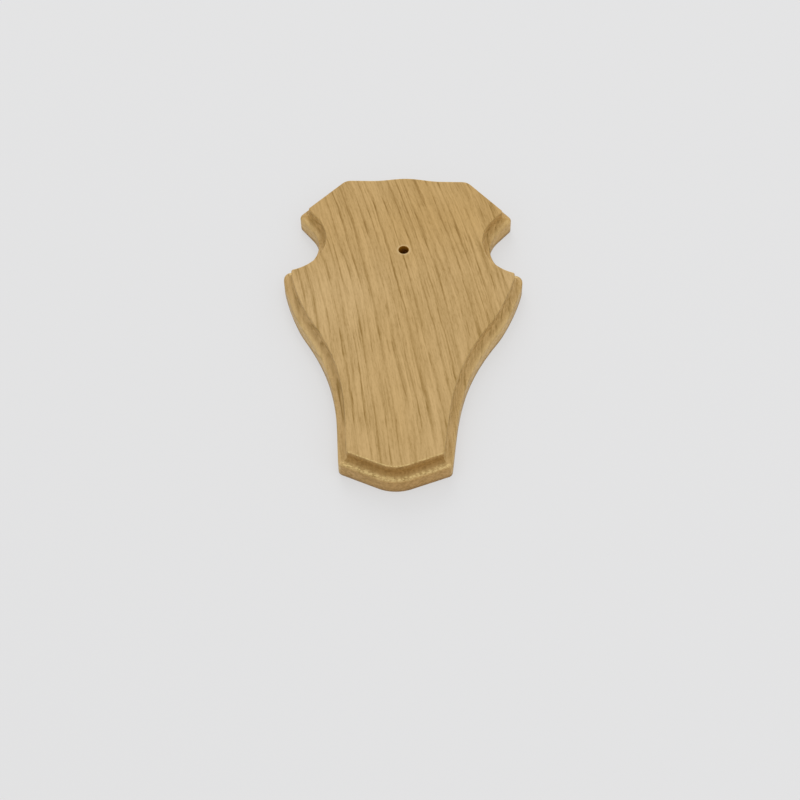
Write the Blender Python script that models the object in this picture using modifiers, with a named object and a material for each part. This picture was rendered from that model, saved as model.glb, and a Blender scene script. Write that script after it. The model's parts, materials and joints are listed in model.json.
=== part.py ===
"""Antler mounting plaque: one moulded oak board, as it hangs, crest up and face towards -Y.

The flat back lies in the plane Y = 0 and the origin is in the middle of it.
"""

import math

import bmesh
import bpy
from mathutils import Vector
from mathutils.geometry import interpolate_bezier

# Board
HEIGHT = 0.240
THICKNESS = 0.018

# Crown, whose crest swells above the level top edge
CROWN_WIDTH = 0.0838
SWELL_WIDTH = 0.0462
SWELL_RISE = 0.0024

# Ears and the round notches under them, with drops measured from the crest
EAR_SPAN = 0.139
EAR_DROP = 0.0333
NOTCH_RADIUS = 0.0224
NOTCH_SPAN = 0.1095
NOTCH_DROP = 0.0596

# Shoulders, the widest place, and the S-shaped sides below them
SHOULDER_SPAN = 0.150
SHOULDER_DROP = 0.0822
SHOULDER_STRAIGHT = 0.0045
BEND_SPAN = 0.1183
BEND_DROP = 0.1298
BEND_LEAN = math.radians(32.8)

# Foot, a shallow round point between two corners
FOOT_WIDTH = 0.066
FOOT_RISE = 0.0117
FOOT_LEAN = math.radians(5)
FOOT_STRAIGHT = 0.008
FOOT_RADIUS = 0.0255

# How far each end of the two side curves pulls, as a share of the curve's height
SHOULDER_PULL = 0.151
BEND_PULL_UP = 0.328
BEND_PULL_DOWN = 0.47
FOOT_PULL = 0.328

# Rounding of the upright corners
CROWN_EASE = 0.0125
EAR_EASE = 0.004
SHOULDER_EASE = 0.005
FOOT_EASE = 0.0034

# Edge moulding: a round rim, a cove and a step up to the face
RIM_HEIGHT = 0.0104
RIM_ROUND = 0.0018
COVE_RADIUS = 0.0034
FACE_ARRIS = 0.0004
FACE_ARRIS_LEAN = math.radians(30)
BACK_ARRIS = 0.0004

# Bolt hole, countersunk from the back
BOLT_DIAMETER = 0.005
BOLT_CLEARANCE = 0.0006
BOLT_DROP = 0.0683
SINK_DIAMETER = 0.0112
SINK_ANGLE = math.radians(90)

# Blind hole in the back for the nail or screw that the plaque hangs on
HANGER_DIAMETER = 0.012
HANGER_DEPTH = 0.010
HANGER_DROP = 0.027

# Finish
OAK_COLOUR = (0.46, 0.31, 0.13, 1)
OAK_ROUGHNESS = 0.5
SHARP_ANGLE = math.radians(30)

# Cutters
OVERCUT = 0.003
RUN_OUT = 0.008
WELD_REACH = 5e-6

# Fineness
STRAIGHT_TO_ROUND_STEPS = 12
NOTCH_STEPS = 26
SIDE_STEPS = 26
CORNER_STEPS = 5
ROUND_STEPS = 4
COVE_STEPS = 5
BORE_SIDES = 40

CREST = HEIGHT / 2
MOULDING_WIDTH = RIM_ROUND + COVE_RADIUS
BOLT_BORE = BOLT_DIAMETER + 2 * BOLT_CLEARANCE


def below_crest(drop):
    return CREST - drop


def circle_touch(point, centre, radius, turn):
    """Angle at which a straight line from the point touches the circle; turn is 1 or -1."""
    away = point - centre
    return math.atan2(away.y, away.x) + turn * math.acos(radius / away.length)


def arc(centre, radius, start, end, steps):
    """Points along an arc, both ends included."""
    points = []
    for i in range(steps + 1):
        angle = start + (end - start) * i / steps
        points.append(centre + radius * Vector((math.cos(angle), math.sin(angle))))
    return points


def crown_run():
    """From the crest out to the crown's corner."""
    half = SWELL_WIDTH / 2
    points = []
    for i in range(STRAIGHT_TO_ROUND_STEPS + 1):
        share = i / STRAIGHT_TO_ROUND_STEPS
        fall = SWELL_RISE * (1 - math.cos(math.pi * share)) / 2
        points.append(Vector((half * share, CREST - fall)))
    points.append(Vector((CROWN_WIDTH / 2, CREST - SWELL_RISE)))
    return points


def ear_tip():
    return Vector((EAR_SPAN / 2, below_crest(EAR_DROP)))


def shoulder_tip():
    return Vector((SHOULDER_SPAN / 2, below_crest(SHOULDER_DROP)))


def foot_corner():
    return Vector((FOOT_WIDTH / 2, -CREST + FOOT_RISE))


def slope_run():
    """Straight from the crown's corner down to the ear."""
    return [crown_run()[-1], ear_tip()]


def notch_run():
    """From the ear in to the round notch and out to the shoulder, straight where it leaves the round."""
    centre = Vector((NOTCH_SPAN / 2 + NOTCH_RADIUS, below_crest(NOTCH_DROP)))
    upper = circle_touch(ear_tip(), centre, NOTCH_RADIUS, 1) % math.tau
    lower = circle_touch(shoulder_tip(), centre, NOTCH_RADIUS, -1) % math.tau
    return [ear_tip()] + arc(centre, NOTCH_RADIUS, upper, lower, NOTCH_STEPS) + [shoulder_tip()]


def side_run():
    """From the shoulder through the bend, where the curve turns over, to the foot's corner."""
    bend = Vector((BEND_SPAN / 2, below_crest(BEND_DROP)))
    bend_way = Vector((math.sin(BEND_LEAN), math.cos(BEND_LEAN)))
    foot_way = Vector((math.sin(FOOT_LEAN), math.cos(FOOT_LEAN)))
    top = shoulder_tip() - Vector((0, SHOULDER_STRAIGHT))
    end = foot_corner() + FOOT_STRAIGHT * foot_way
    upper_height = top.y - bend.y
    lower_height = bend.y - end.y
    upper = interpolate_bezier(
        top,
        top - Vector((0, SHOULDER_PULL * upper_height)),
        bend + BEND_PULL_UP * upper_height * bend_way,
        bend,
        SIDE_STEPS,
    )
    lower = interpolate_bezier(
        bend,
        bend - BEND_PULL_DOWN * lower_height * bend_way,
        end + FOOT_PULL * lower_height * foot_way,
        end,
        SIDE_STEPS,
    )
    curve = [point.to_2d() for point in upper + lower[1:]]
    return [shoulder_tip()] + curve + [foot_corner()]


def foot_run():
    """From the foot's corner straight in to its round point."""
    centre = Vector((0, -CREST + FOOT_RADIUS))
    touch = circle_touch(foot_corner(), centre, FOOT_RADIUS, -1)
    return [foot_corner()] + arc(centre, FOOT_RADIUS, touch, -math.pi / 2, STRAIGHT_TO_ROUND_STEPS)


def point_back_from_end(run, distance):
    """Cuts the run short by a distance from its end, and gives what is left."""
    kept = list(run)
    while (kept[-1] - kept[-2]).length <= distance:
        distance -= (kept[-1] - kept[-2]).length
        kept.pop()
    kept[-1] = kept[-1] + (kept[-2] - kept[-1]).normalized() * distance
    return kept


def eased_corner(before, after, radius):
    """The two runs cut short at their shared corner, and the round that joins them."""
    corner = before[-1]
    into = (corner - before[-2]).normalized()
    out = (after[1] - corner).normalized()
    turn = into.angle(out)
    back = radius * math.tan(turn / 2)
    before = point_back_from_end(before, back)
    after = point_back_from_end(after[::-1], back)[::-1]
    pull = 4 / 3 * math.tan(turn / 4) * radius
    bridge = interpolate_bezier(
        before[-1],
        before[-1] + into * pull,
        after[0] - out * pull,
        after[0],
        CORNER_STEPS + 1,
    )
    return before, [point.to_2d() for point in bridge[1:-1]], after


def top_run():
    """From the crest round the crown's corner to the ear."""
    crown, bridge, slope = eased_corner(crown_run(), slope_run(), CROWN_EASE)
    return crown + bridge + slope


def board_outline():
    """The whole outline, its right half from crest to foot and then the same mirrored."""
    runs = [top_run(), notch_run(), side_run(), foot_run()]
    eases = [EAR_EASE, SHOULDER_EASE, FOOT_EASE]
    half = []
    for i, radius in enumerate(eases):
        runs[i], bridge, runs[i + 1] = eased_corner(runs[i], runs[i + 1], radius)
        half += (runs[i] if i == 0 else runs[i][1:]) + bridge
        half.append(runs[i + 1][0])
    half += runs[-1][1:]
    mirrored = [Vector((-point.x, point.y)) for point in half[-2:0:-1]]
    return half + mirrored


def cutter_path(run):
    """Through the middles of the run's pieces, and carried straight on past both corners."""
    first = run[0] + (run[0] - run[1]).normalized() * RUN_OUT
    last = run[-1] + (run[-1] - run[-2]).normalized() * RUN_OUT
    middles = [(before + after) / 2 for before, after in zip(run, run[1:])]
    return [first] + middles + [last]


def moulding_section():
    """What the moulding takes away, as (distance in from the edge, height above the back)."""
    round_centre = Vector((RIM_ROUND, RIM_HEIGHT - RIM_ROUND))
    cove_centre = Vector((RIM_ROUND, RIM_HEIGHT + COVE_RADIUS))
    rim = arc(round_centre, RIM_ROUND, math.pi, math.pi / 2, ROUND_STEPS)
    cove = arc(cove_centre, COVE_RADIUS, -math.pi / 2, 0, COVE_STEPS)
    below_rim = rim[0] + (rim[0] - rim[1])
    step_top = Vector((MOULDING_WIDTH, THICKNESS - FACE_ARRIS))
    arris_slope = Vector((math.tan(FACE_ARRIS_LEAN), 1)) * FACE_ARRIS
    clear = step_top + arris_slope * (1 + OVERCUT / FACE_ARRIS)
    outer = -OVERCUT
    return (
        [Vector((outer, below_rim.y)), below_rim]
        + rim[1:]
        + cove[1:]
        + [step_top, clear, Vector((outer, clear.y))]
    )


def flat_curve(name, points, cyclic):
    """A 2D curve through the points, standing upright so that its own Z is towards the viewer."""
    data = bpy.data.curves.new(name, "CURVE")
    data.dimensions = "2D"
    spline = data.splines.new("POLY")
    spline.points.add(len(points) - 1)
    for slot, point in zip(spline.points, points):
        slot.co = (point.x, point.y, 0, 1)
    spline.use_cyclic_u = cyclic
    obj = bpy.data.objects.new(name, data)
    obj.rotation_euler.x = math.radians(90)
    bpy.context.scene.collection.objects.link(obj)
    return obj


def as_mesh(curve_object, collection):
    """The curve object made a closed mesh object, with its caps welded on."""
    bpy.context.view_layer.update()
    graph = bpy.context.evaluated_depsgraph_get()
    mesh = bpy.data.meshes.new_from_object(curve_object.evaluated_get(graph))
    shape = bmesh.new()
    shape.from_mesh(mesh)
    bmesh.ops.remove_doubles(shape, verts=shape.verts, dist=WELD_REACH)
    bmesh.ops.recalc_face_normals(shape, faces=shape.faces)
    shape.to_mesh(mesh)
    shape.free()
    name = curve_object.name
    obj = bpy.data.objects.new(name, mesh)
    obj.matrix_world = curve_object.matrix_world
    bpy.data.objects.remove(curve_object)
    obj.name = name
    collection.objects.link(obj)
    return obj


def make_board(collection):
    """The plain board, with a small arris all round its back."""
    obj = flat_curve("plaque", board_outline(), True)
    obj.location.y = -THICKNESS / 2
    obj.data.fill_mode = "BOTH"
    obj.data.extrude = THICKNESS / 2 - BACK_ARRIS
    obj.data.bevel_depth = BACK_ARRIS
    obj.data.bevel_resolution = 0
    obj.data.offset = -BACK_ARRIS
    return as_mesh(obj, collection)


def make_moulding_cutter(name, run, collection):
    """The moulding's section swept along one run of the edge."""
    section = flat_curve(name + "_section", moulding_section(), True)
    obj = flat_curve(name, cutter_path(run), False)
    obj.data.bevel_mode = "OBJECT"
    obj.data.bevel_object = section
    obj.data.use_fill_caps = True
    cutter = as_mesh(obj, collection)
    bpy.data.objects.remove(section)
    return hide_cutter(cutter)


def make_round_cutter(name, drop, depths_and_radii, collection):
    """A turned cutter on the plaque's middle line, from (depth from the back, radius) pairs."""
    mesh = bpy.data.meshes.new(name)
    shape = bmesh.new()
    corners = [shape.verts.new((radius, 0, -depth)) for depth, radius in depths_and_radii]
    for above, below in zip(corners, corners[1:]):
        shape.edges.new((above, below))
    shape.to_mesh(mesh)
    shape.free()
    obj = bpy.data.objects.new(name, mesh)
    obj.location = (0, 0, below_crest(drop))
    obj.rotation_euler.x = math.radians(-90)
    screw = obj.modifiers.new("Turn", "SCREW")
    screw.steps = BORE_SIDES
    screw.render_steps = BORE_SIDES
    screw.use_merge_vertices = True
    screw.merge_threshold = WELD_REACH
    collection.objects.link(obj)
    return hide_cutter(obj)


def hide_cutter(obj):
    obj.hide_render = True
    obj.display_type = "WIRE"
    return obj


def cut(obj, cutter):
    boolean = obj.modifiers.new(cutter.name, "BOOLEAN")
    boolean.operation = "DIFFERENCE"
    boolean.solver = "EXACT"
    boolean.object = cutter


def make_oak():
    material = bpy.data.materials.new("oak")
    material.use_nodes = True
    shader = material.node_tree.nodes["Principled BSDF"]
    shader.inputs["Base Color"].default_value = OAK_COLOUR
    shader.inputs["Roughness"].default_value = OAK_ROUGHNESS
    shader.inputs["Metallic"].default_value = 0
    material.diffuse_color = OAK_COLOUR
    return material


def make_collection(name):
    collection = bpy.data.collections.new(name)
    bpy.context.scene.collection.children.link(collection)
    return collection


def make_moulding_cutters(collection):
    """One cutter for each run of the right-hand edge. Where two meet, they leave a mitre."""
    runs = {
        "top_moulding": top_run(),
        "notch_moulding": notch_run(),
        "side_moulding": side_run(),
        "foot_moulding": foot_run(),
    }
    return [make_moulding_cutter(name, run, collection) for name, run in runs.items()]


def make_bolt_cutter(collection):
    """Straight through the board, with a cone at the back for a countersunk head."""
    bore = BOLT_BORE / 2
    slope = math.tan(SINK_ANGLE / 2)
    mouth = SINK_DIAMETER / 2
    profile = [
        (-OVERCUT, 0),
        (-OVERCUT, mouth + OVERCUT * slope),
        ((mouth - bore) / slope, bore),
        (THICKNESS + OVERCUT, bore),
        (THICKNESS + OVERCUT, 0),
    ]
    return make_round_cutter("bolt_cutter", BOLT_DROP, profile, collection)


def make_hanger_cutter(collection):
    radius = HANGER_DIAMETER / 2
    profile = [
        (-OVERCUT, 0),
        (-OVERCUT, radius),
        (HANGER_DEPTH, radius),
        (HANGER_DEPTH, 0),
    ]
    return make_round_cutter("hanger_cutter", HANGER_DROP, profile, collection)


def make_plaque(parts, cutters):
    plaque = make_board(parts)
    for cutter in make_moulding_cutters(cutters):
        cut(plaque, cutter)
    weld = plaque.modifiers.new("Weld mitres", "WELD")
    weld.merge_threshold = WELD_REACH
    mirror = plaque.modifiers.new("Left half", "MIRROR")
    mirror.use_axis[0] = True
    mirror.use_bisect_axis[0] = True
    mirror.use_clip = True
    mirror.bisect_threshold = WELD_REACH
    mirror.merge_threshold = WELD_REACH
    for make in (make_bolt_cutter, make_hanger_cutter):
        cut(plaque, make(cutters))
    plaque.data.materials.clear()
    plaque.data.materials.append(make_oak())
    plaque.data.shade_smooth()
    plaque.data.set_sharp_from_angle(angle=SHARP_ANGLE)
    return plaque


def clear_scene():
    for obj in list(bpy.data.objects):
        bpy.data.objects.remove(obj)


def main():
    clear_scene()
    parts = make_collection("Antler mounting plaque")
    cutters = make_collection("Cutters")
    make_plaque(parts, cutters)


main()
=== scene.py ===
"""Oak antler plaque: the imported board, dressed in grained oak and lit as in a studio."""

import json
import math

import bmesh
import bpy
import numpy as np
from mathutils import Matrix, Vector

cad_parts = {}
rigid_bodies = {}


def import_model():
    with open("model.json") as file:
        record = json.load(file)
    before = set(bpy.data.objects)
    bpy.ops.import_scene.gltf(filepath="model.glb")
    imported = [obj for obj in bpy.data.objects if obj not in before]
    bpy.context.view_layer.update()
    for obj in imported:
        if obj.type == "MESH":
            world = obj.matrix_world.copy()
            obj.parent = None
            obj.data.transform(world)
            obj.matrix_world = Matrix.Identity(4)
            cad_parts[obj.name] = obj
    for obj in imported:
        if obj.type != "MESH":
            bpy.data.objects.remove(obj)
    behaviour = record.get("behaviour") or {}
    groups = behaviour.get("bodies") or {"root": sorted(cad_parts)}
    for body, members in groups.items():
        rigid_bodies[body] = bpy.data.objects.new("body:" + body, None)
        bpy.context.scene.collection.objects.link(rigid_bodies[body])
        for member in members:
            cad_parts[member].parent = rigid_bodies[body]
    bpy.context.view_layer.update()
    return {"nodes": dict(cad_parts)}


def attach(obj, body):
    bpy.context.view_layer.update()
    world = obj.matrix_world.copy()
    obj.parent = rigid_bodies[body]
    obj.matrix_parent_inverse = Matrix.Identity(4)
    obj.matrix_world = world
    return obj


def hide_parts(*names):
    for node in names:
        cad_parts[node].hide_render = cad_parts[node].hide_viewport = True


# Camera, in metres: where it stands and which way its own axes point
CAMERA_PLACE = Vector((0.03124, -0.77146, -0.63694))
CAMERA_RIGHT = Vector((0.999369, 0.015135, 0.032141))
CAMERA_UP = Vector((-0.016498, -0.603528, 0.797171))
CAMERA_LENS = 72.51
SENSOR_WIDTH = 36

# The board, in the same sizes as its solid
THICKNESS = 0.018
RIM_HEIGHT = 0.0104
RIM_ROUND = 0.0018
COVE_RADIUS = 0.0034
BACK_ARRIS = 0.0004
FACE_ARRIS = 0.0005
MOULDING_WIDTH = RIM_ROUND + COVE_RADIUS
BOLT_HEIGHT = 0.0517
BOLT_RADIUS = 0.0031
BOLT_WEAR = 0.0003
SINK_RADIUS = 0.0056
HANGER_HEIGHT = 0.093
HANGER_RADIUS = 0.006
HANGER_DEPTH = 0.010
OVERCUT = 0.003
BOLT_SIDES = 64
HANGER_SIDES = 72

# How finely the moulding is swept, and how its corners are kept clean
OUTLINE_STEP = 0.0009
BACK_STEPS = 3
ROUND_STEPS = 8
COVE_STEPS = 12
# Over the cove's first steps the wear with its painted highlight fades out, and the painted shade grows
COVE_WEAR_AND_HIGHLIGHT_STEPS = 4
COVE_SHADED_STEPS = 5
FACE_STEPS = 4
TIP_RADIUS = 0.0015
LOOP_REACH = 90
LEAST_CROSSING = math.sin(math.radians(3))
WELD = 2e-6
SLIVER = 1e-6
SHARP_ANGLE = math.radians(28)
FLAT_AREA = 1e-4

# Grain: lean and bend of the fibres, lean and width of the rings, and how calm they are through the board
GRAIN_LEAN = math.radians(13)
GRAIN_BEND = 0.45
RING_LEAN = math.radians(52)
RING_WIDTH = 0.0050
RING_CALM = 0.3

# How far the fibres wander and ripple, in metres
WANDER = 0.012
RIPPLE = 0.0022

# How far the rings stray and fray, in ring widths; finer lines to a ring, and how far those stray
RING_STRAY = 2.4
RING_FRAY = 0.55
THIN_RATE = 2.37
THIN_STRAY = 3.1

# How much each layer of the grain darkens the wood
RING_SHARE = 0.34
THIN_SHARE = 0.20
PATCH_SHARE = 0.16
STREAK_SHARE = 0.20
VESSEL_SHARE = 0.28
PORE_SHARE = 0.16
HAIR_SHARE = 0.14
MOTTLE_SHARE = 0.36

# Colours of the wood, and the tints that are multiplied on it
PALE_WOOD = (0.590, 0.390, 0.158, 1)
DARK_WOOD = (0.262, 0.146, 0.022, 1)
# Painted light on the lower curves of the long-grain sides
CURVE_LIGHT_COLOUR = (0.84, 0.62, 0.29, 1)
# Paler wear, with a painted highlight, on the bead and the face's arris
WORN_HIGHLIGHT_COLOUR = (0.86, 0.65, 0.28, 1)
# A painted highlight round the screw hole
HOLE_HIGHLIGHT_COLOUR = (0.72, 0.54, 0.29, 1)
WARM_TINT = (0.92, 0.865, 0.68, 1)
WARM_PATCH_SHARE = 0.36
WARM_CROWN_SHARE = 0.72
WARM_CROWN_RISE = (0.02, 0.08)
END_TINT = (0.86, 0.78, 0.66, 1)
# Painted shade in the end grain's cove and step
COVE_SHADE_TINT = (0.74, 0.67, 0.50, 1)
# Painted contact shadow where the board meets the wall
CONTACT_SHADOW_TINT = (0.58, 0.54, 0.47, 1)
# Painted shade inside the drilled holes
BORED_SHADE_TINT = (0.50, 0.32, 0.06, 1)
# Width and strength of the painted highlight round the screw hole
HOLE_HIGHLIGHT_WIDTH = 0.0022
HOLE_HIGHLIGHT_SHARE = 0.45

# Sheen, roughness of the pale and the dark wood, and relief, as depth and as shares of it
GLOSS = 0.30
BORED_GLOSS = 0.05
ROUGHNESS = (0.50, 0.66)
BUMP_STRENGTH = 0.55
BUMP_DEPTH = 0.00012
HAIR_DEPTH = 0.35
STREAK_DEPTH = 0.30

# Levels up the side, as (share of its height, painted light on the lower curves, painted contact shadow),
# and up the step, as (share, painted shade in the end grain's cove)
SIDE_LEVELS = ((0.14, 0.3, 0.7), (0.4, 1.0, 0.0), (0.7, 1.0, 0.0), (0.92, 1.0, 0.0))
STEP_LEVELS = ((0.33, 0.8), (0.66, 0.5), (0.9, 0.2))
# Painted contact shadow on the back arris, against the wall
BACK_CONTACT_SHADOW = 0.9
# Wear with a painted highlight on the face's arris, less at its two ends
FACE_WEAR_AND_HIGHLIGHT = 0.8
FACE_END_WEAR_AND_HIGHLIGHT = 0.3

# What the board's points carry, from 0 to 1: wear with painted highlight, painted shade in the end grain's
# cove, painted contact shadow at the wall, and painted light on the lower curves
EDGE_LAYERS = ("wear_and_highlight", "painted_cove_shade", "painted_contact_shadow", "painted_curve_light")

# How much of the end grain's wear and painted highlight the long-grain edges take, and how much painted
# light the lower curves take
SIDE_WEAR_AND_HIGHLIGHT = 0.15
CURVE_PAINTED_LIGHT = 0.26

# Where end grain and the lower curves with painted light begin, as the upright share of the edge's inward
# way, and over what span
END_FROM, END_OVER = 0.72, 0.16
CURVE_FROM, CURVE_OVER = 0.25, 0.2

# Lights: place and width in metres, and power in watts
KEY = ((-0.5, -1.9, 2.5), 1.8, 30.0)
FILL = ((0.9, -1.2, -0.6), 1.2, 3.0)
BACK = ((-0.8, 1.3, 0.9), 1.0, 9.0)

# World and wall
WORLD_LIGHT = (0.77, 0.77, 0.775, 1)
WORLD_SEEN = (0.75, 0.75, 0.755, 1)
WALL_COLOUR = (0.80, 0.80, 0.805, 1)
WALL_GLOW = (0.755, 0.755, 0.758, 1)
WALL_LIFT = 0.7
WALL_ROUGHNESS = 0.9
WALL_GLOSS = 0.1
WALL_HALF = 2.5
WALL_GAP = 0.0005
WALL_REACH = 0.003


class Nodes:
    """Short names for the shader nodes of one material."""

    def __init__(self, material):
        self.tree = material.node_tree

    def add(self, kind, **settings):
        node = self.tree.nodes.new(kind)
        for name, value in settings.items():
            setattr(node, name, value)
        return node

    def link(self, source, target):
        self.tree.links.new(source, target)

    def feed(self, socket, value):
        if isinstance(value, bpy.types.NodeSocket):
            self.link(value, socket)
        else:
            socket.default_value = value

    def math(self, operation, *values, clamp=False):
        node = self.add("ShaderNodeMath", operation=operation, use_clamp=clamp)
        for socket, value in zip(node.inputs, values):
            self.feed(socket, value)
        return node.outputs[0]

    def joined(self, *parts):
        node = self.add("ShaderNodeCombineXYZ")
        for socket, part in zip(node.inputs, parts):
            self.link(part, socket)
        return node.outputs["Vector"]

    def scaled(self, vector, scale):
        node = self.add("ShaderNodeVectorMath", operation="MULTIPLY")
        self.feed(node.inputs[0], vector)
        node.inputs[1].default_value = scale
        return node.outputs[0]

    def noise(self, vector, scale, detail=2.0, roughness=0.5):
        """Noise from 0 to 1, with its own scale (across, through, along) in cycles a metre."""
        node = self.add("ShaderNodeTexNoise")
        self.link(self.scaled(vector, scale), node.inputs["Vector"])
        node.inputs["Scale"].default_value = 1.0
        node.inputs["Detail"].default_value = detail
        node.inputs["Roughness"].default_value = roughness
        return node.outputs["Fac"]

    def smooth(self, value, low, high, out_low=0.0, out_high=1.0):
        """A soft step from out_low to out_high."""
        node = self.add("ShaderNodeMapRange", interpolation_type="SMOOTHSTEP")
        for socket, item in zip(node.inputs, (value, low, high, out_low, out_high)):
            self.feed(socket, item)
        return node.outputs["Result"]

    def mix(self, share, first, second, blend="MIX"):
        """Two colours mixed; the node's colour sockets share their names with others, so they go by type."""
        node = self.add("ShaderNodeMix", data_type="RGBA", blend_type=blend)
        self.feed(node.inputs["Factor"], share)
        colours = [socket for socket in node.inputs if socket.type == "RGBA"]
        self.feed(colours[0], first)
        self.feed(colours[1], second)
        return [socket for socket in node.outputs if socket.type == "RGBA"][0]


def grain_places(n, place):
    """The place turned along the grain, then across, through and along it as the fibres bow and wander."""
    turned = n.add("ShaderNodeMapping", vector_type="POINT")
    turned.inputs["Rotation"].default_value = (0, GRAIN_LEAN, 0)
    n.link(place, turned.inputs["Vector"])
    split = n.add("ShaderNodeSeparateXYZ")
    n.link(turned.outputs["Vector"], split.inputs["Vector"])
    across, through, along = split.outputs

    # A ring keeps its course through the board better than across its face
    calm = n.math("MULTIPLY_ADD", through, RING_CALM, (RING_CALM - 1) * THICKNESS)

    bow = n.math("MULTIPLY", n.math("MULTIPLY", along, along), GRAIN_BEND)
    straight = n.joined(across, calm, along)
    wander = n.noise(straight, (9, 9, 5), detail=1.0)
    ripple = n.noise(straight, (60, 60, 14), detail=2.0)
    shift = n.math(
        "ADD",
        n.math("MULTIPLY", n.math("SUBTRACT", wander, 0.5), WANDER),
        n.math("MULTIPLY", n.math("SUBTRACT", ripple, 0.5), RIPPLE),
    )
    across = n.math("ADD", n.math("ADD", across, bow), shift)
    return turned.outputs["Vector"], across, through, calm, along


def growth_rings(n, across, through, sheet, fibre):
    """The early wood of the rings, which the face cuts at a slant, and the finer lines between them."""
    ring = n.math(
        "ADD",
        n.math("MULTIPLY", across, math.sin(RING_LEAN)),
        n.math("MULTIPLY", through, math.cos(RING_LEAN)),
    )
    uneven = n.noise(sheet, (45, 45, 1.2), detail=1.0)
    ragged = n.noise(sheet, (170, 170, 24), detail=2.0, roughness=0.6)
    count = n.math(
        "ADD",
        n.math("DIVIDE", ring, RING_WIDTH),
        n.math("ADD", n.math("MULTIPLY", uneven, RING_STRAY), n.math("MULTIPLY", ragged, RING_FRAY)),
    )
    phase = n.math("FRACT", count)
    early = n.math("MULTIPLY", n.smooth(phase, 0.0, 0.10), n.smooth(phase, 0.10, 0.40, 1.0, 0.0))

    strayed = n.math("MULTIPLY", uneven, THIN_STRAY)
    between = n.math("FRACT", n.math("ADD", n.math("MULTIPLY", count, THIN_RATE), strayed))
    thin = n.math("MULTIPLY", n.smooth(between, 0.0, 0.12), n.smooth(between, 0.12, 0.55, 1.0, 0.0))
    thin = n.math("MULTIPLY", thin, n.smooth(n.noise(fibre, (150, 150, 30), detail=2.0), 0.38, 0.60))
    return early, thin


def grain_darkness(n, early, thin, sheet, fibre, lined):
    """How dark the grain makes the wood, and how high its surface stands."""
    fading = n.smooth(n.noise(sheet, (90, 90, 20), detail=2.0), 0.34, 0.64, 0.30, 1.0)
    rings = n.math("MULTIPLY", early, fading)

    # Streaks finer than a ring, and the open vessels that show as dark dashes
    patch = n.smooth(n.noise(sheet, (210, 210, 24), detail=2.0, roughness=0.6), 0.34, 0.66)
    streak = n.smooth(n.noise(fibre, (480, 480, 24), detail=3.0, roughness=0.65), 0.36, 0.66)
    vessel = n.smooth(n.noise(fibre, (900, 900, 60), detail=1.0), 0.56, 0.68)
    vessel = n.math("MULTIPLY", vessel, n.smooth(early, 0.1, 0.8, 0.5, 1.0))
    pore = n.smooth(n.noise(fibre, (1000, 1000, 260), detail=2.0, roughness=0.7), 0.44, 0.66)
    hair = n.smooth(n.noise(fibre, (2100, 2100, 120), detail=1.0), 0.56, 0.72)

    darkness = n.math("MULTIPLY", n.math("MULTIPLY", rings, lined), RING_SHARE)
    for layer, amount in (
        (n.math("MULTIPLY", thin, lined), THIN_SHARE),
        (patch, PATCH_SHARE),
        (streak, STREAK_SHARE),
        (n.math("MULTIPLY", vessel, lined), VESSEL_SHARE),
        (pore, PORE_SHARE),
        (hair, HAIR_SHARE),
    ):
        darkness = n.math("ADD", darkness, n.math("MULTIPLY", layer, amount))

    height = n.math("MULTIPLY", vessel, -1.0)
    height = n.math("SUBTRACT", height, n.math("MULTIPLY", hair, HAIR_DEPTH))
    height = n.math("SUBTRACT", height, n.math("MULTIPLY", streak, STREAK_DEPTH))
    return darkness, height


def end_grain(n, normal):
    """How far a face shows end grain, from 0 to 1."""
    end = n.add("ShaderNodeVectorMath", operation="DOT_PRODUCT")
    n.link(normal, end.inputs[0])
    end.inputs[1].default_value = (-math.sin(GRAIN_LEAN), 0, math.cos(GRAIN_LEAN))
    return n.smooth(n.math("ABSOLUTE", end.outputs["Value"]), 0.45, 1.0)


def edge_mottle(n, normal, fibre):
    """Darker and paler spots on the moulded edges, which are cut across the fibres."""
    facing = n.add("ShaderNodeSeparateXYZ")
    n.link(normal, facing.inputs["Vector"])
    edge_share = n.smooth(n.math("ABSOLUTE", facing.outputs["Y"]), 0.40, 0.95, 1.0, 0.0)
    mottle = n.smooth(n.noise(fibre, (700, 700, 140), detail=2.0), 0.36, 0.64, -0.5, 0.5)
    return n.math("MULTIPLY", n.math("MULTIPLY", mottle, edge_share), MOTTLE_SHARE)


def wood_colour(n, darkness):
    """The wood's own colour, from pale to dark."""
    ramp = n.add("ShaderNodeValToRGB")
    pale, dark = ramp.color_ramp.elements
    pale.color = PALE_WOOD
    dark.color = DARK_WOOD
    n.link(darkness, ramp.inputs["Fac"])
    return ramp.outputs["Color"]


def warmth(n, turned, along):
    """Slow change of tone over the board, warmer in some places and towards the crown."""
    patch = n.smooth(n.noise(turned, (26, 26, 8), detail=2.0), 0.35, 0.68)
    crown = n.smooth(along, *WARM_CROWN_RISE, 0.0, WARM_CROWN_SHARE)
    return n.math("ADD", n.math("MULTIPLY", patch, WARM_PATCH_SHARE), crown)


def painted_hole_highlight(n, place):
    """A painted highlight round the screw hole, from the hole's edge outwards."""
    from_hole = n.add("ShaderNodeVectorMath", operation="DISTANCE")
    n.link(place, from_hole.inputs[0])
    from_hole.inputs[1].default_value = (0, -THICKNESS, BOLT_HEIGHT)
    highlight_edge = BOLT_RADIUS + HOLE_HIGHLIGHT_WIDTH
    return n.smooth(from_hole.outputs["Value"], BOLT_RADIUS, highlight_edge, HOLE_HIGHLIGHT_SHARE, 0.0)


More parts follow.
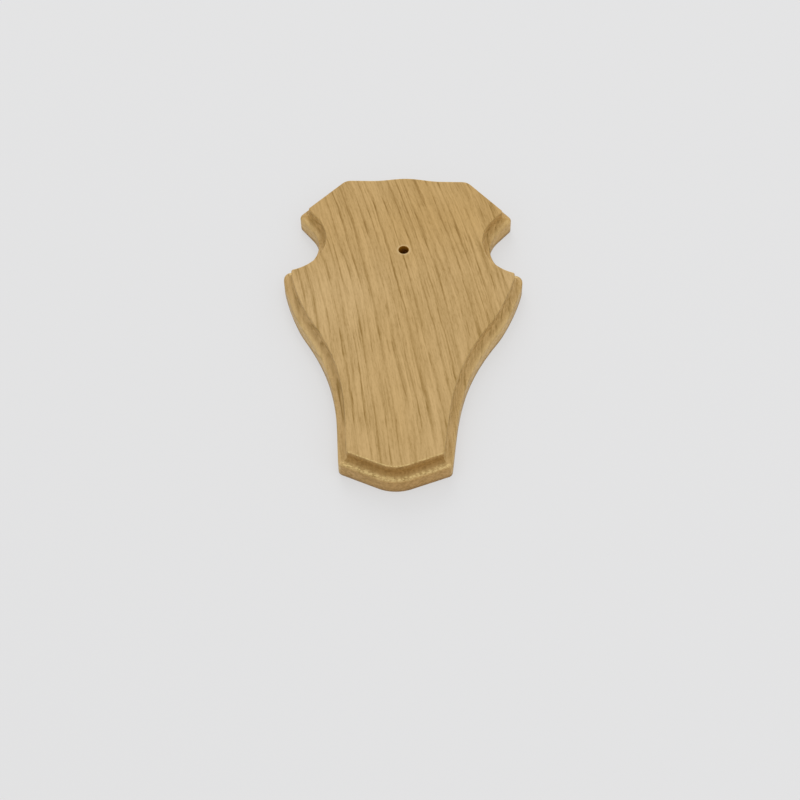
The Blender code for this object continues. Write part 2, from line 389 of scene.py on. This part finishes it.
def oak_material():
    material = bpy.data.materials.new("oiled_oak")
    material.use_nodes = True
    n = Nodes(material)
    shader = n.tree.nodes["Principled BSDF"]
    place = n.add("ShaderNodeTexCoord").outputs["Object"]
    normal = n.add("ShaderNodeNewGeometry").outputs["Normal"]
    wear_and_highlight, painted_cove_shade, painted_contact_shadow, painted_curve_light = (
        n.add("ShaderNodeAttribute", attribute_name=name).outputs["Fac"] for name in EDGE_LAYERS
    )

    turned, across, through, calm, along = grain_places(n, place)
    fibre = n.joined(across, through, along)
    sheet = n.joined(across, calm, along)
    early, thin = growth_rings(n, across, through, sheet, fibre)

    # End grain shows fewer ring lines and dashes
    end_share = end_grain(n, normal)
    lined = n.smooth(n.math("MAXIMUM", end_share, painted_cove_shade), 0.0, 0.7, 1.0, 0.25)
    darkness, height = grain_darkness(n, early, thin, sheet, fibre, lined)
    darkness = n.math("ADD", darkness, edge_mottle(n, normal, fibre))
    darkness = n.smooth(darkness, -0.35, 1.25, -0.12, 1.0)

    # End grain drinks more oil and turns darker; its cove and step are darkened further as painted shade
    colour = n.mix(warmth(n, turned, along), wood_colour(n, darkness), WARM_TINT, "MULTIPLY")
    colour = n.mix(end_share, colour, END_TINT, "MULTIPLY")
    colour = n.mix(painted_cove_shade, colour, COVE_SHADE_TINT, "MULTIPLY")

    # Painted light on the lower curves, paler wear with a painted highlight on the edges, painted contact
    # shadow where the board meets the wall, and a painted highlight round the screw hole
    spots = n.smooth(n.noise(place, (620, 900, 1100), detail=1.0), 0.38, 0.64, 0.10, 0.85)
    colour = n.mix(painted_curve_light, colour, CURVE_LIGHT_COLOUR)
    colour = n.mix(n.math("MULTIPLY", wear_and_highlight, spots), colour, WORN_HIGHLIGHT_COLOUR)
    colour = n.mix(painted_contact_shadow, colour, CONTACT_SHADOW_TINT, "MULTIPLY")
    colour = n.mix(painted_hole_highlight(n, place), colour, HOLE_HIGHLIGHT_COLOUR)
    n.link(colour, shader.inputs["Base Color"])

    n.link(n.smooth(darkness, 0.0, 1.0, *ROUGHNESS), shader.inputs["Roughness"])
    shader.inputs["Specular IOR Level"].default_value = GLOSS
    bump = n.add("ShaderNodeBump")
    bump.inputs["Strength"].default_value = BUMP_STRENGTH
    bump.inputs["Distance"].default_value = BUMP_DEPTH
    n.link(height, bump.inputs["Height"])
    n.link(bump.outputs["Normal"], shader.inputs["Normal"])
    return material


def shaded_bored_material(oak):
    """The walls of the drilled holes: the same wood, darkened as painted shade."""
    material = oak.copy()
    material.name = "shaded_bored_oak"
    n = Nodes(material)
    shader = n.tree.nodes["Principled BSDF"]
    source = shader.inputs["Base Color"].links[0].from_socket
    n.link(n.mix(1.0, source, BORED_SHADE_TINT, "MULTIPLY"), shader.inputs["Base Color"])
    shader.inputs["Specular IOR Level"].default_value = BORED_GLOSS
    return material


def placed(name, data):
    """A new object in the scene."""
    obj = bpy.data.objects.new(name, data)
    bpy.context.scene.collection.objects.link(obj)
    return obj


def solid_outline(node):
    """The solid's outline just above its back arris, as (x, z) points in order, clockwise from the front."""
    mesh = node.data
    spots = [(round(v.co.x, 6), round(v.co.z, 6)) for v in mesh.vertices]
    level = [abs(v.co.y + BACK_ARRIS) < WELD for v in mesh.vertices]
    beside = {}
    for edge in mesh.edges:
        first, second = edge.vertices
        if level[first] and level[second] and spots[first] != spots[second]:
            beside.setdefault(spots[first], set()).add(spots[second])
            beside.setdefault(spots[second], set()).add(spots[first])
    start = max(beside, key=lambda spot: (spot[1], -abs(spot[0])))
    loop = [start, max(beside[start])]
    while loop[-1] != start:
        ahead = beside[loop[-1]] - {loop[-2]}
        loop.append(min(ahead))
    return np.array(loop[:-1])


def closer_points(outline, step):
    """The same outline with its longer pieces divided."""
    points = []
    for here, there in zip(outline, np.roll(outline, -1, axis=0)):
        count = max(1, math.ceil(np.hypot(*(there - here)) / step))
        points += [here + (there - here) * i / count for i in range(count)]
    return np.array(points)


def inward_ways(outline):
    """For each point, the way that it moves when the whole outline moves in by one."""
    way = np.roll(outline, -1, axis=0) - outline
    way /= np.linalg.norm(way, axis=1)[:, None]
    normal = np.stack([way[:, 1], -way[:, 0]], axis=1)
    before = np.roll(normal, 1, axis=0)
    both = normal + before
    return both / (1 + (normal * before).sum(axis=1))[:, None]


def crossing(a, b, c, d):
    """Where segment ab crosses each of the segments cd, as (share along ab, share along cd)."""
    along = b - a
    other = d - c
    gap = c - a
    turn = along[0] * other[:, 1] - along[1] * other[:, 0]
    least = LEAST_CROSSING * np.hypot(*along) * np.hypot(*other.T)
    turn = np.where(np.abs(turn) <= least, np.inf, turn)
    first = (gap[:, 0] * other[:, 1] - gap[:, 1] * other[:, 0]) / turn
    second = (gap[:, 0] * along[1] - gap[:, 1] * along[0]) / turn
    return first, second


def moved_in(outline, ways, distance):
    """The outline moved in, with a small round left at each corner that is tighter than the move."""
    places = outline + ways * distance
    ring = outline + ways * (distance + TIP_RADIUS)
    count = len(ring)
    i = 0
    while i < count:
        a, b = ring[i], ring[(i + 1) % count]
        js = (i + 2 + np.arange(LOOP_REACH)) % count
        first, second = crossing(a, b, ring[js], ring[(js + 1) % count])
        hits = np.nonzero((first > 0) & (first <= 1) & (second > 0) & (second <= 1))[0]
        if len(hits):
            meeting = a + (b - a) * first[hits[-1]]
            last = i + 3 + hits[-1]
            for k in range(i + 1, last):
                share = (k - i) / (last - i)
                way = ways[i] * (1 - share) + ways[last % count] * share
                places[k % count] = meeting - way / np.hypot(*way) * TIP_RADIUS
            i = last - 1
        i += 1
    return places


def board_section():
    """Levels from the back to the face: (distance in, height, wear with painted highlight, painted light on
    the lower curves, painted contact shadow, painted shade in the end grain's cove).

    The first and the last lie on the flats, just inside the arrises, so that the flats stay free of these
    marks.
    """
    levels = [(3 * BACK_ARRIS, 0.0, 0.0, 0.0, 0.0, 0.0)]
    # The back arris, with painted contact shadow
    for i in range(BACK_STEPS + 1):
        angle = math.pi / 2 * i / BACK_STEPS
        distance = BACK_ARRIS * (1 - math.sin(angle))
        levels.append((distance, BACK_ARRIS * (1 - math.cos(angle)), 0.0, 0.0, BACK_CONTACT_SHADOW, 0.0))
    side_top = RIM_HEIGHT - RIM_ROUND
    # The side carries painted light on its lower curves, and painted contact shadow near the back
    for share, painted_curve_light, painted_contact_shadow in SIDE_LEVELS:
        levels.append((0.0, side_top * share, 0.0, painted_curve_light, painted_contact_shadow, 0.0))
    for i in range(ROUND_STEPS + 1):
        angle = math.pi / 2 * i / ROUND_STEPS
        distance = RIM_ROUND * (1 - math.cos(angle))
        # Wear with a painted highlight over the rim's round, the bead
        wear_and_highlight = math.sin(angle) ** 2
        levels.append((distance, side_top + RIM_ROUND * math.sin(angle), wear_and_highlight, 1.0, 0.0, 0.0))
    for i in range(1, COVE_STEPS + 1):
        angle = math.pi / 2 * i / COVE_STEPS
        distance = RIM_ROUND + COVE_RADIUS * math.sin(angle)
        height = RIM_HEIGHT + COVE_RADIUS * (1 - math.cos(angle))
        wear_and_highlight = max(0.0, 1 - i / COVE_WEAR_AND_HIGHLIGHT_STEPS)
        # Painted shade grows down the cove towards the step
        painted_cove_shade = min(1.0, i / COVE_SHADED_STEPS)
        levels.append((distance, height, wear_and_highlight, wear_and_highlight, 0.0, painted_cove_shade))
    step_foot = RIM_HEIGHT + COVE_RADIUS
    step_top = THICKNESS - FACE_ARRIS
    # The step carries painted shade, fading towards the face
    for share, painted_cove_shade in STEP_LEVELS:
        levels.append((MOULDING_WIDTH, step_foot + (step_top - step_foot) * share, 0.0, 0.0, 0.0, painted_cove_shade))
    for i in range(FACE_STEPS + 1):
        angle = math.pi / 2 * i / FACE_STEPS
        distance = MOULDING_WIDTH + FACE_ARRIS * (1 - math.cos(angle))
        wear_and_highlight = FACE_WEAR_AND_HIGHLIGHT if 0 < i < FACE_STEPS else FACE_END_WEAR_AND_HIGHLIGHT
        levels.append((distance, step_top + FACE_ARRIS * math.sin(angle), wear_and_highlight, 0.0, 0.0, 0.0))
    levels.append((MOULDING_WIDTH + 2 * FACE_ARRIS, THICKNESS, 0.0, 0.0, 0.0, 0.0))
    return levels


def join_rings(shape, rings):
    """Faces between each ring of points and the next."""
    for low, high in zip(rings, rings[1:]):
        for i in range(len(low)):
            k = (i + 1) % len(low)
            shape.faces.new((low[i], low[k], high[k], high[i]))


def swept_mesh(outline, material):
    """The moulding swept round the outline, and closed by the flat back and face."""
    ways = inward_ways(outline)
    ends = np.clip((np.abs(ways[:, 1]) - END_FROM) / END_OVER, 0, 1)
    # Painted light on the long-grain sides' lower curves, which face down
    curves = np.clip((ways[:, 1] - CURVE_FROM) / CURVE_OVER, 0, 1) * (1 - ends) * CURVE_PAINTED_LIGHT
    shape = bmesh.new()
    layers = [shape.verts.layers.float.new(name) for name in EDGE_LAYERS]
    rings = []
    for distance, height, wear_and_highlight, painted_curve_light, painted_contact_shadow, painted_cove_shade in board_section():
        ring = []
        for (x, z), end, curve in zip(moved_in(outline, ways, distance), ends, curves):
            vert = shape.verts.new((x, -height, z))
            # Wear with a painted highlight, stronger on end grain
            edge_wear_and_highlight = wear_and_highlight * (SIDE_WEAR_AND_HIGHLIGHT + (1 - SIDE_WEAR_AND_HIGHLIGHT) * end)
            for layer, value in zip(layers, (edge_wear_and_highlight, painted_cove_shade * end, painted_contact_shadow, painted_curve_light * curve)):
                vert[layer] = value
            ring.append(vert)
        rings.append(ring)
    join_rings(shape, rings)
    bmesh.ops.remove_doubles(shape, verts=shape.verts, dist=WELD)
    bmesh.ops.dissolve_degenerate(shape, edges=shape.edges, dist=SLIVER)
    open_edges = [edge for edge in shape.edges if len(edge.link_faces) == 1]
    bmesh.ops.holes_fill(shape, edges=open_edges, sides=0)
    bmesh.ops.recalc_face_normals(shape, faces=shape.faces)
    mesh = bpy.data.meshes.new("oak_board")
    shape.to_mesh(mesh)
    shape.free()
    mesh.materials.append(material)
    return mesh


def turned_cutter(name, height, depths_and_radii, sides, material):
    """A turned cutter on the board's middle line, from (depth from the back, radius) pairs."""
    shape = bmesh.new()
    rings = []
    for depth, radius in depths_and_radii:
        ring = []
        for i in range(sides):
            angle = math.tau * i / sides
            place = (radius * math.cos(angle), -depth, height + radius * math.sin(angle))
            ring.append(shape.verts.new(place))
        rings.append(ring)
    join_rings(shape, rings)
    shape.faces.new(rings[0])
    shape.faces.new(rings[-1])
    bmesh.ops.recalc_face_normals(shape, faces=shape.faces)
    mesh = bpy.data.meshes.new(name)
    shape.to_mesh(mesh)
    shape.free()
    mesh.materials.append(material)
    return placed(name, mesh)


def bore(board, cutters):
    """Takes the cutters' shapes out of the board, and deletes the cutters."""
    for cutter in cutters:
        boolean = board.modifiers.new(cutter.name, "BOOLEAN")
        boolean.operation = "DIFFERENCE"
        boolean.solver = "EXACT"
        boolean.object = cutter
        boolean.material_mode = "TRANSFER"
    bpy.context.view_layer.update()
    graph = bpy.context.evaluated_depsgraph_get()
    cut = bpy.data.meshes.new_from_object(board.evaluated_get(graph), depsgraph=graph)
    board.modifiers.clear()
    board.data = cut
    for cutter in cutters:
        bpy.data.objects.remove(cutter)


def make_board(node, oak, shaded_bored_oak):
    """The board, with its moulding swept round the solid's own outline and its two holes bored."""
    outline = closer_points(solid_outline(node), OUTLINE_STEP)
    board = placed("oak_board", swept_mesh(outline, oak))
    bolt_profile = [
        (-OVERCUT, SINK_RADIUS + OVERCUT),
        (SINK_RADIUS - BOLT_RADIUS, BOLT_RADIUS),
        (THICKNESS - BOLT_WEAR, BOLT_RADIUS),
        (THICKNESS + OVERCUT, BOLT_RADIUS + BOLT_WEAR + OVERCUT),
    ]
    hanger_profile = [(-OVERCUT, HANGER_RADIUS), (HANGER_DEPTH, HANGER_RADIUS)]
    bolt = turned_cutter("bolt_cutter", BOLT_HEIGHT, bolt_profile, BOLT_SIDES, shaded_bored_oak)
    hanger = turned_cutter("hanger_cutter", HANGER_HEIGHT, hanger_profile, HANGER_SIDES, shaded_bored_oak)
    bore(board, (bolt, hanger))
    smooth_rounds(board.data)
    return board


def smooth_rounds(mesh):
    """Smooth shading, with the flat faces and the real corners kept crisp."""
    mesh.shade_smooth()
    mesh.set_sharp_from_angle(angle=SHARP_ANGLE)
    shape = bmesh.new()
    shape.from_mesh(mesh)
    bmesh.ops.dissolve_degenerate(shape, edges=shape.edges, dist=SLIVER)
    flat = [face for face in shape.faces if face.calc_area() > FLAT_AREA]
    for face in flat:
        for edge in face.edges:
            edge.smooth = False
    bmesh.ops.triangulate(shape, faces=flat, ngon_method="BEAUTY")
    shape.to_mesh(mesh)
    shape.free()


def wall_material():
    """Matt pale card, clear from behind and to the board's own back, so that the back is seen and lit."""
    material = bpy.data.materials.new("pale_card")
    material.use_nodes = True
    n = Nodes(material)
    shader = n.tree.nodes["Principled BSDF"]
    output = n.tree.nodes["Material Output"]
    shader.inputs["Base Color"].default_value = WALL_COLOUR
    shader.inputs["Roughness"].default_value = WALL_ROUGHNESS
    shader.inputs["Specular IOR Level"].default_value = WALL_GLOSS
    glow = n.add("ShaderNodeEmission")
    glow.inputs["Color"].default_value = WALL_GLOW
    lift = n.add("ShaderNodeMixShader")
    lift.inputs["Fac"].default_value = WALL_LIFT
    n.link(shader.outputs["BSDF"], lift.inputs[1])
    n.link(glow.outputs["Emission"], lift.inputs[2])
    clear = n.add("ShaderNodeBsdfTransparent")
    choose = n.add("ShaderNodeMixShader")
    behind = n.add("ShaderNodeNewGeometry").outputs["Backfacing"]
    close = n.math("LESS_THAN", n.add("ShaderNodeLightPath").outputs["Ray Length"], WALL_REACH)
    n.link(n.math("MAXIMUM", behind, close), choose.inputs["Fac"])
    n.link(lift.outputs["Shader"], choose.inputs[1])
    n.link(clear.outputs["BSDF"], choose.inputs[2])
    n.link(choose.outputs["Shader"], output.inputs["Surface"])
    return material


def add_wall():
    signs = ((-1, -1), (1, -1), (1, 1), (-1, 1))
    corners = [(x * WALL_HALF, WALL_GAP, z * WALL_HALF) for x, z in signs]
    mesh = bpy.data.meshes.new("wall")
    mesh.from_pydata(corners, [], [(0, 1, 2, 3)])
    mesh.materials.append(wall_material())
    wall = placed("wall", mesh)


def add_area_light(name, place, size, power):
    """A square light that faces the middle of the board's back."""
    data = bpy.data.lights.new(name, "AREA")
    data.shape = "SQUARE"
    data.size = size
    data.energy = power
    light = placed(name, data)
    light.location = place
    light.rotation_euler = (-Vector(place)).to_track_quat("-Z", "Y").to_euler()
    return light


def add_world():
    world = bpy.data.worlds.new("studio")
    world.use_nodes = True
    nodes, links = world.node_tree.nodes, world.node_tree.links
    light = nodes["Background"]
    light.inputs["Color"].default_value = WORLD_LIGHT
    seen = nodes.new("ShaderNodeBackground")
    seen.inputs["Color"].default_value = WORLD_SEEN
    choose = nodes.new("ShaderNodeMixShader")
    links.new(nodes.new("ShaderNodeLightPath").outputs["Is Camera Ray"], choose.inputs["Fac"])
    links.new(light.outputs["Background"], choose.inputs[1])
    links.new(seen.outputs["Background"], choose.inputs[2])
    links.new(choose.outputs["Shader"], nodes["World Output"].inputs["Surface"])
    bpy.context.scene.world = world


def add_camera():
    data = bpy.data.cameras.new("camera")
    data.lens = CAMERA_LENS
    data.sensor_width = SENSOR_WIDTH
    camera = placed("camera", data)
    back = CAMERA_RIGHT.cross(CAMERA_UP)
    axes = Matrix((CAMERA_RIGHT, CAMERA_UP, back)).transposed().to_4x4()
    camera.matrix_world = Matrix.Translation(CAMERA_PLACE) @ axes
    bpy.context.scene.camera = camera


for obj in list(bpy.data.objects):
    bpy.data.objects.remove(obj)
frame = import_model()
plaque = frame["nodes"]["plaque"]
oak = oak_material()
board = make_board(plaque, oak, shaded_bored_material(oak))
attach(board, "root")
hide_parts("plaque")
add_wall()
add_world()
add_area_light("key", *KEY)
add_area_light("fill", *FILL)
back_light = add_area_light("back", *BACK)
back_light.visible_glossy = False
add_camera()
bpy.context.scene.view_settings.view_transform = "Standard"
